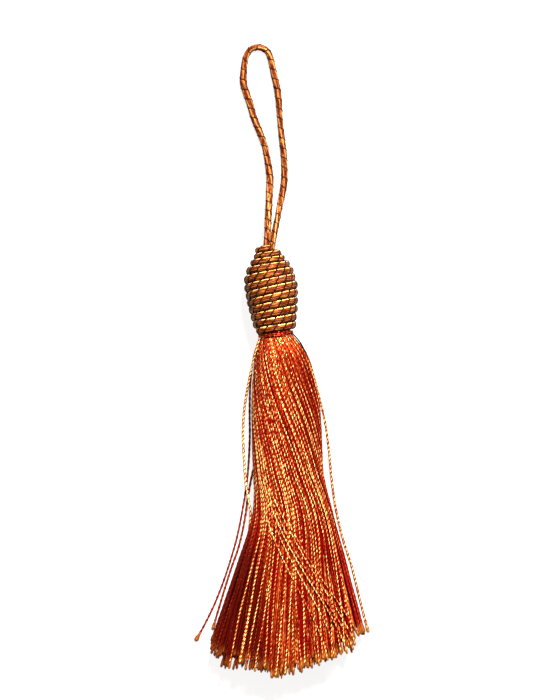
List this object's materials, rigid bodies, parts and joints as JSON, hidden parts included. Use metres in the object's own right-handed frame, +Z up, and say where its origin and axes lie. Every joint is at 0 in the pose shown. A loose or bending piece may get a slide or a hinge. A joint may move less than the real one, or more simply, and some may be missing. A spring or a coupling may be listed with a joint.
{
  "type": "silk tassel",
  "caption": "Tassel of twisted silk threads under an acorn-shaped head wound with gimp cord, with a long hanging loop of the same cord. It hangs from a key, a drawer or a curtain.",
  "frame": {"origin": "where the widest turn of the wound head rests on the surface that the tassel lies on", "axes": "+Z up from the surface, +Y from the skirt's cut end to the hanging loop, +X to the right of someone who looks down on the tassel with its loop at the top"},
  "size_m": [0.0445, 0.1589, 0.0129],
  "materials": {
    "loop_cord": "twisted gimp cord, golden brown with a silky sheen",
    "head_cord": "wound gimp cord, golden brown with brick red in its grooves",
    "skirt_silk": "plied silk thread, orange red with a golden sheen"
  },
  "bodies": {
    "root": {"hanging_loop": "loop_cord", "head_winding": "head_cord", "skirt": "skirt_silk"}
  },
  "joints": []
}
